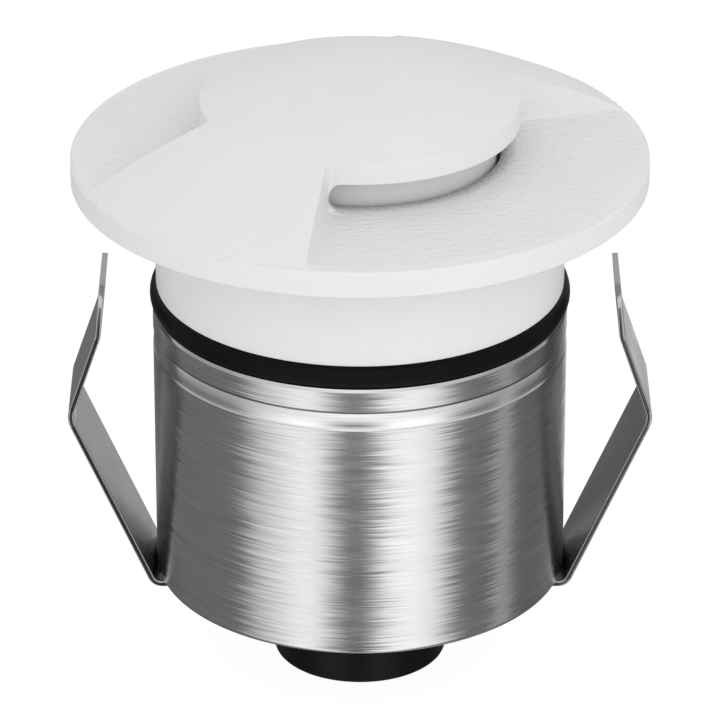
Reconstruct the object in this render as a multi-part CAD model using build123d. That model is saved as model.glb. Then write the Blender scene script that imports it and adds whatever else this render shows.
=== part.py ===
from build123d import *
import os
from math import asin, atan, atan2, cos, degrees, hypot, radians, sin, tan

# An in ground well light with two side windows: a domed cast cover that screws into a round steel
# housing, an O-ring between them, a cable gland below, and a spring strap with two bent arms that
# grips the hole. Millimetres, +Z up. The origin is on the axis, at the underside of the cover's
# flange, where it rests on the finished ground. The arms lie along X. Each window looks out over a
# pocket in the cover, and the two pockets are half a turn apart.

# Cover, outside
COVER_R = 25.0                # flange
FLANGE_EDGE = 2.3             # height of the flange's rim
RIM_ROUND = 0.3
NECK_R = 17.8
NECK_BOTTOM = -9.83
HUB_R = 13.8                  # raised middle, over the windows
HUB_EDGE_Z = 7.2              # its edge, where the dome crosses it
DOME_BULGE = 0.3              # how far the dome's flank stands proud of a straight cone
POCKETS = 2
POCKET_TOWARDS = 320.25       # direction in which the first pocket opens, degrees from +X
POCKET_HALF_SPAN = 60.65      # from there to the foot of each side wall
WALL_DRAFT = 2.0              # lean of the side walls, so that the casting leaves its mould
CORNER_ROUND = 0.6            # where a side wall meets the hub
FOOT_ROUND = 0.4              # where a side wall meets the pocket's floor
FLOOR_RISE = 0.25             # the floor climbs this much from the rim to the hub

# Windows in the hub's wall
WINDOW_BOTTOM = FLANGE_EDGE + FLOOR_RISE
WINDOW_TOP = 5.15
WINDOW_HALF_SPAN = 61.2
WINDOW_END_LEAN = 20.0        # degrees between a window's end wall and the radius there
WINDOW_EDGE_ROUND = 0.1       # round each window's outer edge

# Cover, inside
HUB_BORE_R = 12.25
ROOF_EDGE_Z = 5.8
ROOF_THICKNESS = 1.8          # at the crown
BORE_R = 13.2                 # below the hub
STEP_Z = -0.7                 # shoulder that the diffuser's gasket bears on
SPIGOT_R = 15.9               # threaded end, drawn at the thread's pitch line
SPIGOT_BOTTOM = -17.0
SPIGOT_CHAMFER = 0.5
SEAL_GROOVE_R = 15.7
SEAL_GROOVE_BOTTOM = -12.1

# O-ring, squeezed flat between the neck and the housing
SEAL_R = 17.05
SEAL_SECTION_R = 1.3
TOUCH = 0.02                  # left between faces that only touch, on pieces that move apart

# Housing
HOUSING_R = 18.12
HOUSING_TOP = -11.86
HOUSING_BOTTOM = -37.45
TOP_CHAMFER = 0.23
BOTTOM_ROUND = 0.5
FLOOR_THICKNESS = 2.0
FIT_GAP = 0.05                # radial clearance of the screwed and seated fits
THREAD_BORE_R = SPIGOT_R + FIT_GAP
LEDGE_Z = -20.0               # the heat sink's flange rests here
INNER_R = 15.2
GROOVE_TOP = -13.93           # shallow turned groove round the outside
GROOVE_DEEPEST = -15.25
GROOVE_END = -15.76
GROOVE_STEP = 0.05
GROOVE_DEPTH = 0.1

# Diffuser behind the windows, and what holds it
DIFFUSER_R = 11.8
DIFFUSER_WALL = 1.2
DIFFUSER_TOP = 5.55
DIFFUSER_LID = 1.0
DIFFUSER_FLANGE_R = 13.0
GASKET_THICKNESS = 0.5
DIFFUSER_FLANGE = 1.2
HOLDING_RING = 1.5
HOLDING_RING_BORE_R = 10.9
REFLECTOR_R = 10.4
REFLECTOR_EDGE = 0.6
REFLECTOR_DROP = 3.2
REFLECTOR_HOLLOW = 0.3        # share of the straight cone at which the flank's curve is pulled in

# Light module
PILLAR_R = 9.8
PILLAR_TOP = -4.2
SINK_FLANGE_R = SPIGOT_R
SINK_FLANGE = 2.0
LED_BOARD = 1.0
LED_COUNT = 6
LED_PITCH_R = 6.3
LED_SIZE = (2.8, 3.5, 0.7)
LED_LENS_R = 1.1
LED_LENS_RISE = 0.2
LED_SCREWS = 2
MODULE_HOLE_R = 3.2           # distance of the board's screws and leads from the axis
LEAD_R = 0.6
LEAD_HOLE_R = 0.9

# Driver
DRIVER_R = 14.0
DRIVER_TOP = -27.4
DRIVER_THICKNESS = 1.6
SPACERS = 3
SPACER_PITCH_R = 11.5
SPACER_FLATS = 4.0
CAPACITOR_AT = (6.2, 5.4)
CAPACITOR_R = 3.15
CAPACITOR_HEIGHT = 5.8
CAPACITOR_ROUND = 0.4
INDUCTOR_AT = (-6.0, 5.4)
INDUCTOR_R = 3.6
INDUCTOR_HEIGHT = 4.6
INDUCTOR_FLANGE = 1.0
INDUCTOR_WAIST_R = 2.9
CHIP_SIZES = ((5.0, 4.0, 1.6), (4.6, 3.8, 2.0), (3.2, 1.6, 0.7), (3.2, 1.6, 0.7))
CHIP_PLACES = ((3.4, -5.6), (-4.2, -5.6), (3.4, -9.6), (-4.2, -9.4))

# Cable gland
GLAND_R = 7.67
GLAND_BOTTOM = -46.2
GLAND_ROUND = 0.45
CABLE_R = 2.5                 # the rubber sleeve grips a cable of this radius
CABLE_HOLE_R = 2.7            # and the stem lets it through
STEM_R = 4.0
STEM_TOP = -31.6
STEM_HOLE_R = 4.1
BODY_FLANGE_R = 6.3           # clamps the strap
BODY_FLANGE = 1.5
COLLAR_R = 5.3                # the cap screws over it
COLLAR_BOTTOM = -43.6
CAP_LIP_R = 2.8               # the cap presses the sleeve up with this lip
CAP_LIP = 0.9
CAP_MOUTH_R = 3.3             # the mouth widens to this, so that the cable can bend
NUT_FLATS = 11.0
NUT_HEIGHT = 2.8
NUT_WASHER = 0.5
NUT_WASHER_R = 6.2
SLEEVE_R = 3.9
SLEEVE_HEIGHT = 3.4

# Spring strap, one bent strip of stainless steel, clamped under the housing by the gland
STRIP = 0.5
STRIP_WIDTH = 9.2
STRAP_GAP = 0.05
STRAP_RING_R = 7.2
FOOT_MID_Z = HOUSING_BOTTOM - STRAP_GAP - STRIP / 2
BEND_CORNER = (18.25, FOOT_MID_Z)
KNEE_CORNER = (25.45, -21.37)
NECK_CORNER = (22.77, -13.47)
TIP = (22.30, -8.86)
BEND_R = 1.0                  # radii of the strip's middle line
KNEE_R = 2.3
NECK_BEND_R = 2.5
TIP_ROUND = 1.6
SPLIT = 0.02                  # gap between strap and arm, at the start of the lower bend

# Screws of the LED board and of the driver board
SCREW_R = 1.0
SCREW_SHANK_R = 0.95
SCREW_HEAD_R = 1.6
SCREW_HEAD = 1.2
SCREW_HEAD_CHAMFER = 0.35
SCREW_LENGTH = 5.0

OVERRUN = 1.0                 # how far a cutting shape runs past what it cuts


def spun(outline):
    """Turn a closed outline of (radius, height) points round Z."""
    return revolve(Plane.XZ * make_face(Polyline(*outline, close=True)), Axis.Z)


def ring(outer, inner, low, high):
    return spun([(inner, low), (outer, low), (outer, high), (inner, high)])


def rod(radius, low, high, at=(0, 0)):
    return Pos(at[0], at[1], (low + high) / 2) * Cylinder(radius, high - low)


def around(piece, count, start=0):
    """Copies of a piece spread evenly round Z, as separate solids."""
    return [Rot(0, 0, start + 360 * n / count) * piece for n in range(count)]


def hex_bar(flats, low, high, at=(0, 0)):
    profile = RegularPolygon(flats / 2, 6, major_radius=False)
    return Pos(at[0], at[1], low) * extrude(profile, high - low)


# ---- cover ---------------------------------------------------------------------------------------

def crown_arc(radius, edge_z, crown_z):
    """Arc from an edge up to the axis, where it is level."""
    rise = crown_z - edge_z
    arc_r = (radius ** 2 + rise ** 2) / (2 * rise)
    half = asin(radius / arc_r) / 2
    return ThreePointArc((radius, edge_z), (arc_r * sin(half), crown_z - arc_r * (1 - cos(half))),
                         (0, crown_z))


def dome_profile():
    """Top line of the cover, from the rim to the crown: two arcs that meet smoothly at the hub."""
    rim = (COVER_R - RIM_ROUND, FLANGE_EDGE)
    hub = (HUB_R, HUB_EDGE_Z)
    run, rise = rim[0] - hub[0], hub[1] - rim[1]
    chord = hypot(run, rise)
    bulged = ((rim[0] + hub[0]) / 2 + DOME_BULGE * rise / chord,
              (rim[1] + hub[1]) / 2 + DOME_BULGE * run / chord)
    slope = atan2(rise, run) - 2 * atan(2 * DOME_BULGE / chord)
    crown = HUB_EDGE_Z + HUB_R * tan(slope / 2)
    return rim, ThreePointArc(rim, bulged, hub), crown_arc(HUB_R, HUB_EDGE_Z, crown), crown


def cover_blank():
    """The turned form of the cover, before the pockets and windows."""
    rim, flank, cap, crown = dome_profile()
    corner = (COVER_R, FLANGE_EDGE - RIM_ROUND)
    roof = crown - ROOF_THICKNESS
    inside = crown_arc(HUB_BORE_R, ROOF_EDGE_Z, roof)
    lower = Polyline(
        (HUB_BORE_R, ROOF_EDGE_Z), (HUB_BORE_R, STEP_Z), (BORE_R, STEP_Z), (BORE_R, SPIGOT_BOTTOM),
        (SPIGOT_R - SPIGOT_CHAMFER, SPIGOT_BOTTOM), (SPIGOT_R, SPIGOT_BOTTOM + SPIGOT_CHAMFER),
        (SPIGOT_R, SEAL_GROOVE_BOTTOM), (SEAL_GROOVE_R, SEAL_GROOVE_BOTTOM),
        (SEAL_GROOVE_R, NECK_BOTTOM), (NECK_R, NECK_BOTTOM), (NECK_R, 0), (COVER_R, 0), corner)
    rounding = RadiusArc(corner, rim, -RIM_ROUND)
    axis_line = Line((0, crown), (0, roof))
    return revolve(Plane.XZ * make_face([flank, cap, axis_line, inside, lower, rounding]), Axis.Z)


def pocket():
    """The space cut out of the dome in front of one window, opening along +X."""
    far, high = COVER_R + OVERRUN, HUB_EDGE_Z + OVERRUN
    reach = far / cos(radians(POCKET_HALF_SPAN))
    foot = [(0, 0)]
    for side in (-1, 1):
        angle = side * radians(POCKET_HALF_SPAN)
        foot.append((reach * cos(angle), reach * sin(angle)))
    wedge = extrude(make_face(Polyline(*foot, close=True)), high, taper=-WALL_DRAFT)
    space = spun([(HUB_R, WINDOW_BOTTOM), (COVER_R - RIM_ROUND, FLANGE_EDGE), (far, FLANGE_EDGE),
                  (far, high), (HUB_R, high)])
    cut = wedge & space
    upright = [e for e in cut.edges() if abs(e.tangent_at(0.5).Z) > 0.9
               and hypot(e.center().X, e.center().Y) < HUB_R + FOOT_ROUND]
    cut = fillet(upright, CORNER_ROUND)
    feet = [e for e in cut.edges() if e.length > HUB_R / 2 and (e @ 0.5).Z < WINDOW_BOTTOM - TOUCH
            and HUB_R + CORNER_ROUND < hypot((e @ 0.5).X, (e @ 0.5).Y) < COVER_R]
    return fillet(feet, FOOT_ROUND)


def window():
    """The slot through the hub's wall, centred on +X. Its two rounded ends lean towards each other
    on their way in, by less than the wall's radius does, as a core drawn out along +X leaves them."""
    end_r = (WINDOW_TOP - WINDOW_BOTTOM) / 2
    turn = WINDOW_HALF_SPAN - degrees(end_r / HUB_R)
    towards = turn - WINDOW_END_LEAN
    end_x, end_y = HUB_R * cos(radians(turn)), HUB_R * sin(radians(turn))
    apex = end_x - end_y / tan(radians(towards))
    far = HUB_R + 2 * OVERRUN
    side = (far - apex) * tan(radians(towards))
    sector = Pos(0, 0, WINDOW_BOTTOM) * extrude(
        make_face(Polyline((apex, 0), (far, side), (far, -side), close=True)), 2 * end_r)
    slot = sector & ring(HUB_R + OVERRUN, HUB_BORE_R - OVERRUN, WINDOW_BOTTOM, WINDOW_TOP)
    through = Rot(0, 90, 0) * Cylinder(end_r, 2 * (HUB_R - HUB_BORE_R + OVERRUN))
    for way in (-1, 1):
        slot += Pos(end_x, way * end_y, WINDOW_BOTTOM + end_r) * Rot(0, 0, way * towards) * through
    return slot


def cover():
    body = cover_blank()
    for cut in (pocket(), window()):
        for copy in around(cut, POCKETS, POCKET_TOWARDS):
            body -= copy
    lips = [e for e in body.edges() if abs((e @ 0.5).Z - WINDOW_TOP) < TOUCH
            and abs(hypot((e @ 0.5).X, (e @ 0.5).Y) - HUB_R) < TOUCH]
    return fillet(lips, WINDOW_EDGE_ROUND)


# ---- diffuser and its fixings, which turn with the cover ------------------------------------------

GASKET_BOTTOM = STEP_Z - GASKET_THICKNESS
FLANGE_BOTTOM = GASKET_BOTTOM - DIFFUSER_FLANGE


def diffuser():
    inner = DIFFUSER_R - DIFFUSER_WALL
    return spun([(0, DIFFUSER_TOP), (DIFFUSER_R, DIFFUSER_TOP), (DIFFUSER_R, GASKET_BOTTOM),
                 (DIFFUSER_FLANGE_R, GASKET_BOTTOM), (DIFFUSER_FLANGE_R, FLANGE_BOTTOM),
                 (inner, FLANGE_BOTTOM), (inner, DIFFUSER_TOP - DIFFUSER_LID),
                 (0, DIFFUSER_TOP - DIFFUSER_LID)])


def diffuser_gasket():
    return ring(DIFFUSER_FLANGE_R, DIFFUSER_R + FIT_GAP, GASKET_BOTTOM, STEP_Z)


def diffuser_ring():
    return ring(BORE_R - FIT_GAP, HOLDING_RING_BORE_R, FLANGE_BOTTOM - HOLDING_RING, FLANGE_BOTTOM)


def reflector():
    """A hollow-flanked cone, point down, that throws the light sideways."""
    top = DIFFUSER_TOP - DIFFUSER_LID
    edge = (REFLECTOR_R, top - REFLECTOR_EDGE)
    tip = (0, edge[1] - REFLECTOR_DROP)
    pulled_in = (REFLECTOR_R * REFLECTOR_HOLLOW, edge[1] - REFLECTOR_DROP * REFLECTOR_HOLLOW)
    flank = Bezier(edge, pulled_in, tip)
    rest = Polyline(tip, (0, top), (REFLECTOR_R, top), edge)
    return revolve(Plane.XZ * make_face([flank, rest]), Axis.Z)


def cover_seal():
    """The O-ring, with a flat above and below where the neck and the housing squeeze it."""
    circle = Pos(SEAL_R, (NECK_BOTTOM + HOUSING_TOP) / 2) * Circle(SEAL_SECTION_R)
    squeezed = Pos(SEAL_R, (NECK_BOTTOM + HOUSING_TOP) / 2) * Rectangle(
        3 * SEAL_SECTION_R, NECK_BOTTOM - HOUSING_TOP - 2 * TOUCH)
    return revolve(Plane.XZ * (circle & squeezed), Axis.Z)


# ---- housing and light module ---------------------------------------------------------------------

def housing():
    floor_top = HOUSING_BOTTOM + FLOOR_THICKNESS
    groove = HOUSING_R - GROOVE_DEPTH
    body = spun([
        (0, HOUSING_BOTTOM), (HOUSING_R, HOUSING_BOTTOM), (HOUSING_R, GROOVE_END),
        (groove, GROOVE_DEEPEST), (HOUSING_R - GROOVE_STEP, GROOVE_TOP - GROOVE_STEP),
        (HOUSING_R, GROOVE_TOP), (HOUSING_R, HOUSING_TOP - TOP_CHAMFER),
        (HOUSING_R - TOP_CHAMFER, HOUSING_TOP), (THREAD_BORE_R, HOUSING_TOP),
        (THREAD_BORE_R, LEDGE_Z), (INNER_R, LEDGE_Z), (INNER_R, floor_top), (0, floor_top)])
    body = fillet(body.edges().group_by(Axis.Z)[0], BOTTOM_ROUND)
    return body - rod(STEM_HOLE_R, HOUSING_BOTTOM - OVERRUN, floor_top + OVERRUN)


def heat_sink():
    """A turned pillar that carries the LED board, with a flange that rests on the housing's ledge."""
    sink = rod(SINK_FLANGE_R, LEDGE_Z, LEDGE_Z + SINK_FLANGE)
    sink += rod(PILLAR_R, LEDGE_Z, PILLAR_TOP)
    lead_hole = rod(LEAD_HOLE_R, LEDGE_Z - OVERRUN, PILLAR_TOP + OVERRUN, (MODULE_HOLE_R, 0))
    for hole in around(lead_hole, LED_SCREWS):
        sink -= hole
    screw_hole = rod(SCREW_R, PILLAR_TOP - SCREW_LENGTH, PILLAR_TOP + OVERRUN, (MODULE_HOLE_R, 0))
    for hole in around(screw_hole, LED_SCREWS, 90):
        sink -= hole
    stud_top = LEDGE_Z + SINK_FLANGE + OVERRUN
    stud_hole = rod(SCREW_R, LEDGE_Z - OVERRUN, stud_top, (SPACER_PITCH_R, 0))
    for hole in around(stud_hole, SPACERS, 90):
        sink -= hole
    return sink


def led_board():
    top = PILLAR_TOP + LED_BOARD
    board = rod(PILLAR_R, PILLAR_TOP, top)
    hole = rod(SCREW_R, PILLAR_TOP - OVERRUN, top + OVERRUN, (MODULE_HOLE_R, 0))
    for copy in around(hole, LED_SCREWS, 90):
        board -= copy
    return board


def led_chips():
    width, length, height = LED_SIZE
    base = PILLAR_TOP + LED_BOARD
    chip = Pos(LED_PITCH_R, 0, base + height / 2) * Box(width, length, height)
    chip += rod(LED_LENS_R, base, base + height + LED_LENS_RISE, (LED_PITCH_R, 0))
    return around(chip, LED_COUNT)


def pan_screw(head_at, length, at, downward=1):
    """A pan-head screw at a place: the head stands on head_at and the shank runs the other way."""
    head = rod(SCREW_HEAD_R, 0, SCREW_HEAD)
    head = chamfer(head.faces().sort_by(Axis.Z)[-1].edges(), SCREW_HEAD_CHAMFER)
    screw = head + rod(SCREW_SHANK_R, -length, SCREW_HEAD / 2)
    turned = screw if downward == 1 else Rot(180, 0, 0) * screw
    return Pos(at[0], at[1], head_at) * turned


def led_screws():
    screw = pan_screw(PILLAR_TOP + LED_BOARD, SCREW_LENGTH, (MODULE_HOLE_R, 0))
    return around(screw, LED_SCREWS, 90)


def lead(side):
    return rod(LEAD_R, DRIVER_TOP, PILLAR_TOP, (side * MODULE_HOLE_R, 0))


# ---- driver ---------------------------------------------------------------------------------------

def driver_board():
    low = DRIVER_TOP - DRIVER_THICKNESS
    board = rod(DRIVER_R, low, DRIVER_TOP)
    hole = rod(SCREW_R, low - OVERRUN, DRIVER_TOP + OVERRUN, (SPACER_PITCH_R, 0))
    for copy in around(hole, SPACERS, 90):
        board -= copy
    return board


def board_spacers():
    """Hexagonal pillars that hang the driver board under the heat sink."""
    spacer = hex_bar(SPACER_FLATS, DRIVER_TOP, LEDGE_Z)
    spacer -= rod(SCREW_R, DRIVER_TOP - OVERRUN, LEDGE_Z + OVERRUN)
    return around(Pos(SPACER_PITCH_R, 0, 0) * spacer, SPACERS, 90)


def board_screws():
    underside = DRIVER_TOP - DRIVER_THICKNESS
    screw = pan_screw(underside, SCREW_LENGTH, (SPACER_PITCH_R, 0), downward=-1)
    return around(screw, SPACERS, 90)


def driver_capacitor():
    can = rod(CAPACITOR_R, DRIVER_TOP, DRIVER_TOP + CAPACITOR_HEIGHT, CAPACITOR_AT)
    return fillet(can.edges().group_by(Axis.Z)[-1], CAPACITOR_ROUND)


def driver_inductor():
    """A drum core: two flanges and a wound waist."""
    low, high = DRIVER_TOP, DRIVER_TOP + INDUCTOR_HEIGHT
    return (rod(INDUCTOR_R, low, low + INDUCTOR_FLANGE, INDUCTOR_AT)
            + rod(INDUCTOR_WAIST_R, low, high, INDUCTOR_AT)
            + rod(INDUCTOR_R, high - INDUCTOR_FLANGE, high, INDUCTOR_AT))


def driver_chips():
    return [Pos(x, y, DRIVER_TOP + size[2] / 2) * Box(*size)
            for size, (x, y) in zip(CHIP_SIZES, CHIP_PLACES)]


# ---- cable gland ----------------------------------------------------------------------------------

STRAP_BOTTOM = FOOT_MID_Z - STRIP / 2
BODY_FLANGE_BOTTOM = STRAP_BOTTOM - BODY_FLANGE
SLEEVE_TOP = COLLAR_BOTTOM + SLEEVE_HEIGHT


def gland_body():
    """Threaded stem through the floor, a flange that clamps the strap, and a collar below it."""
    return spun([
        (CABLE_HOLE_R, STEM_TOP), (STEM_R, STEM_TOP), (STEM_R, STRAP_BOTTOM),
        (BODY_FLANGE_R, STRAP_BOTTOM), (BODY_FLANGE_R, BODY_FLANGE_BOTTOM),
        (COLLAR_R, BODY_FLANGE_BOTTOM), (COLLAR_R, COLLAR_BOTTOM),
        (SLEEVE_R + FIT_GAP, COLLAR_BOTTOM), (SLEEVE_R + FIT_GAP, SLEEVE_TOP),
        (CABLE_HOLE_R, SLEEVE_TOP)])


def gland_sleeve():
    """The rubber sleeve that the cap squeezes round the cable."""
    return ring(SLEEVE_R, CABLE_R, COLLAR_BOTTOM, SLEEVE_TOP)


def gland_cap():
    """The smooth round cap that screws over the collar and covers it."""
    seat = COLLAR_BOTTOM - FIT_GAP
    collar, flange = COLLAR_R + FIT_GAP, BODY_FLANGE_R + FIT_GAP
    cap = spun([
        (collar, BODY_FLANGE_BOTTOM), (flange, BODY_FLANGE_BOTTOM), (flange, STRAP_BOTTOM),
        (GLAND_R, STRAP_BOTTOM), (GLAND_R, GLAND_BOTTOM), (CAP_MOUTH_R, GLAND_BOTTOM),
        (CAP_LIP_R, seat - CAP_LIP), (CAP_LIP_R, seat), (collar, seat)])
    outer = [e for e in cap.edges().group_by(Axis.Z)[0] if e.radius > CAP_MOUTH_R + FIT_GAP]
    return fillet(outer, GLAND_ROUND)


def gland_nut():
    low = HOUSING_BOTTOM + FLOOR_THICKNESS + NUT_WASHER
    high = low + NUT_HEIGHT
    return hex_bar(NUT_FLATS, low, high) - rod(STEM_R + FIT_GAP, low - OVERRUN, high + OVERRUN)


def gland_washer():
    low = HOUSING_BOTTOM + FLOOR_THICKNESS
    return ring(NUT_WASHER_R, STEM_R + FIT_GAP, low, low + NUT_WASHER)


# ---- spring strap ---------------------------------------------------------------------------------

def bend_centre():
    """Centre of the lower bend, which is also the line that the arm flexes about."""
    dx, dz = KNEE_CORNER[0] - BEND_CORNER[0], KNEE_CORNER[1] - BEND_CORNER[1]
    setback = BEND_R * tan(atan2(dz, dx) / 2)
    return BEND_CORNER[0] - setback, FOOT_MID_Z + BEND_R


def clip_strap():
    """The flat middle of the strip, with a ring round the gland's stem."""
    start = bend_centre()[0]
    flat = Rectangle(2 * start, STRIP_WIDTH) + Circle(STRAP_RING_R) - Circle(STEM_HOLE_R)
    return Pos(0, 0, STRAP_BOTTOM) * extrude(flat, STRIP)


def clip_arm(side):
    """One arm of the strip: out and up to the knee, back in, and a nearly upright end tab."""
    lead_in = STRIP_WIDTH
    start = (bend_centre()[0] - lead_in, FOOT_MID_Z)
    middle = FilletPolyline(start, BEND_CORNER, KNEE_CORNER, NECK_CORNER, TIP,
                            radius=[BEND_R, KNEE_R, NECK_BEND_R])
    section = Plane(origin=(start[0], 0, start[1]), x_dir=(0, 1, 0), z_dir=(1, 0, 0))
    arm = sweep(section * Rectangle(STRIP_WIDTH, STRIP), path=Plane.XZ * middle)
    arm -= Pos(start[0], 0, start[1]) * Box(2 * (lead_in + SPLIT), 2 * STRIP_WIDTH, 2 * STRIP)
    corners = [e for e in arm.edges() if e.length < 2 * STRIP and e.center().Z > TIP[1] - STRIP]
    arm = fillet(corners, TIP_ROUND)
    return arm if side > 0 else mirror(arm, Plane.YZ)


PARTS = {
    "cover": cover,
    "diffuser": diffuser,
    "diffuser_gasket": diffuser_gasket,
    "diffuser_ring": diffuser_ring,
    "reflector": reflector,
    "cover_seal": cover_seal,
    "housing": housing,
    "heat_sink": heat_sink,
    "led_board": led_board,
    "led_chips": led_chips,
    "led_screws": led_screws,
    "lead_positive": lambda: lead(1),
    "lead_negative": lambda: lead(-1),
    "driver_board": driver_board,
    "board_spacers": board_spacers,
    "board_screws": board_screws,
    "driver_capacitor": driver_capacitor,
    "driver_inductor": driver_inductor,
    "driver_chips": driver_chips,
    "gland_body": gland_body,
    "gland_sleeve": gland_sleeve,
    "gland_cap": gland_cap,
    "gland_nut": gland_nut,
    "gland_washer": gland_washer,
    "clip_strap": clip_strap,
    "left_clip_arm": lambda: clip_arm(-1),
    "right_clip_arm": lambda: clip_arm(1),
}

os.makedirs("parts", exist_ok=True)
for name, make in PARTS.items():
    piece = make()
    if isinstance(piece, list):
        piece = Compound(children=piece)
    export_step(piece, f"parts/{name}.step")
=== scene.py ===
from math import atan2, cos, pi, radians, sin, sqrt, tan

import bmesh
import bpy
from mathutils import Matrix, Vector


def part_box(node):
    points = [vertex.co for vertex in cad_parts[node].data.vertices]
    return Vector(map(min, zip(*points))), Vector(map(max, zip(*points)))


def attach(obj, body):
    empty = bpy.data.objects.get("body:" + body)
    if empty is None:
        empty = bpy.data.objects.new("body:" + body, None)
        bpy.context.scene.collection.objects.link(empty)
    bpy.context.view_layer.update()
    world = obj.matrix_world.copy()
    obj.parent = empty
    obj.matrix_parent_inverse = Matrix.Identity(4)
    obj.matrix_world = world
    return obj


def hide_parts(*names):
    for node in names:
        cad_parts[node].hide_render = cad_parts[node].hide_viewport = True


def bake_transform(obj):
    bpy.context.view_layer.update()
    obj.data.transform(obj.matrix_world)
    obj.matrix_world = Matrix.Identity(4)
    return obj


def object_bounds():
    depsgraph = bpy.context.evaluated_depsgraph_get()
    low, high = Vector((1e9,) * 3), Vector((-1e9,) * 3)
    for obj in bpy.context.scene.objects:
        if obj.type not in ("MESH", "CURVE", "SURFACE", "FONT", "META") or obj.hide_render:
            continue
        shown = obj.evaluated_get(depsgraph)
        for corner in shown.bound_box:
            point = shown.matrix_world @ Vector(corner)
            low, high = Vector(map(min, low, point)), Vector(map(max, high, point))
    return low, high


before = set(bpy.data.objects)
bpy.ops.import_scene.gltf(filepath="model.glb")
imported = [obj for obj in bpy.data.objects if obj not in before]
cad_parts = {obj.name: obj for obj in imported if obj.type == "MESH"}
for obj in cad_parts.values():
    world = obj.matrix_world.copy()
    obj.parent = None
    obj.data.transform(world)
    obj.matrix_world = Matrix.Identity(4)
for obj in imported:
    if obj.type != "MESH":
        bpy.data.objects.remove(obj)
CAD_LOW, CAD_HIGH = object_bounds()

# The looks of a small recessed ground light: a powder-coated domed cover, an O-ring, a brushed
# steel housing, a black cable gland and a spring strap with two bent arms. The frame is in metres,
# with +Z up along the axis, the arms along X, and -Y towards the photograph's camera. Shapes are
# written in millimetres and scaled as they are made.

bl_info = {
    "name": "In ground well light",
    "version": (1, 0, 0),
    "blender": (4, 5, 0),
    "location": "3D View > Sidebar > Well light",
    "description": "Dresses the well light's CAD frame and sets up its studio",
    "category": "Object",
}

MM = 0.001


# ---- nodes ----

def add(tree, kind, inputs=None, **settings):
    """Add a node, give it its settings, and set or link its inputs."""
    made = tree.nodes.new(kind)
    for name, value in settings.items():
        setattr(made, name, value)
    for name, value in (inputs or {}).items():
        if isinstance(value, bpy.types.NodeSocket):
            tree.links.new(value, made.inputs[name])
        else:
            made.inputs[name].default_value = value
    return made


def calc(tree, operation, *values):
    """The result of a Math node."""
    made = add(tree, "ShaderNodeMath", dict(enumerate(values)), operation=operation)
    return made.outputs["Value"]


def vector_calc(tree, operation, *vectors, **named):
    """The vector that a Vector Math node gives. A Scale is handed in by its name."""
    made = add(tree, "ShaderNodeVectorMath", {**dict(enumerate(vectors)), **named},
               operation=operation)
    return made.outputs["Vector"]


def linear(hex_colour):
    """sRGB hex, such as "#E0E2E2", to the linear colour that a shader takes."""
    channels = [int(hex_colour[i:i + 2], 16) / 255 for i in (1, 3, 5)]
    return [c / 12.92 if c <= 0.04045 else ((c + 0.055) / 1.055) ** 2.4 for c in channels] + [1.0]


def surface(name, colour, roughness, **sockets):
    """A material with one Principled shader. Returns the material, its tree and the shader."""
    material = bpy.data.materials.new(name)
    material.use_nodes = True
    tree = material.node_tree
    tree.nodes.clear()
    shader = add(tree, "ShaderNodeBsdfPrincipled",
                 {"Base Color": linear(colour), "Roughness": roughness})
    for socket, value in sockets.items():
        shader.inputs[socket.replace("_", " ")].default_value = value
    add(tree, "ShaderNodeOutputMaterial", {"Surface": shader.outputs["BSDF"]})
    return material, tree, shader


def object_place(tree):
    return add(tree, "ShaderNodeTexCoord").outputs["Object"]


def noise(tree, place, size_mm, detail=2.0, roughness=0.5):
    """Noise from 0 to 1 whose blotches are about size_mm across."""
    made = add(tree, "ShaderNodeTexNoise",
               {"Vector": place, "Scale": 1 / (size_mm * MM), "Detail": detail,
                "Roughness": roughness})
    return made.outputs["Fac"]


def remap(tree, value, low, high, from_low=0.3, from_high=0.7):
    """Stretch a range, such as the middle of a noise, to the range from low to high."""
    made = add(tree, "ShaderNodeMapRange",
               {"Value": value, "From Min": from_low, "From Max": from_high,
                "To Min": low, "To Max": high})
    return made.outputs["Result"]


def tinted(tree, colour, factor):
    """A colour made lighter or darker by a factor that varies over the surface."""
    return vector_calc(tree, "SCALE", linear(colour)[:3], Scale=factor)


def vary(tree, shader, colour, shade, roughness=None):
    """Let a shader's colour, and where given its roughness, vary over the surface."""
    tree.links.new(tinted(tree, colour, shade), shader.inputs["Base Color"])
    if roughness is not None:
        tree.links.new(roughness, shader.inputs["Roughness"])


def bump(tree, shader, height, depth_mm, over=None):
    """Raise the surface by a height from 0 to 1 times a depth, over an earlier bump's normal."""
    made = add(tree, "ShaderNodeBump",
               {"Height": height, "Distance": depth_mm * MM, "Strength": 1.0})
    if over is not None:
        tree.links.new(over, made.inputs["Normal"])
    tree.links.new(made.outputs["Normal"], shader.inputs["Normal"])
    return made.outputs["Normal"]


def about_axis(tree, place):
    """A place's part across the light's axis, its distance from the axis, and its height."""
    parts = add(tree, "ShaderNodeSeparateXYZ", {"Vector": place}).outputs
    across = add(tree, "ShaderNodeCombineXYZ",
                 {"X": parts["X"], "Y": parts["Y"]}).outputs["Vector"]
    radius = add(tree, "ShaderNodeVectorMath", {0: across}, operation="LENGTH").outputs["Value"]
    return across, radius, parts["Z"]


# ---- materials ----

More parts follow.
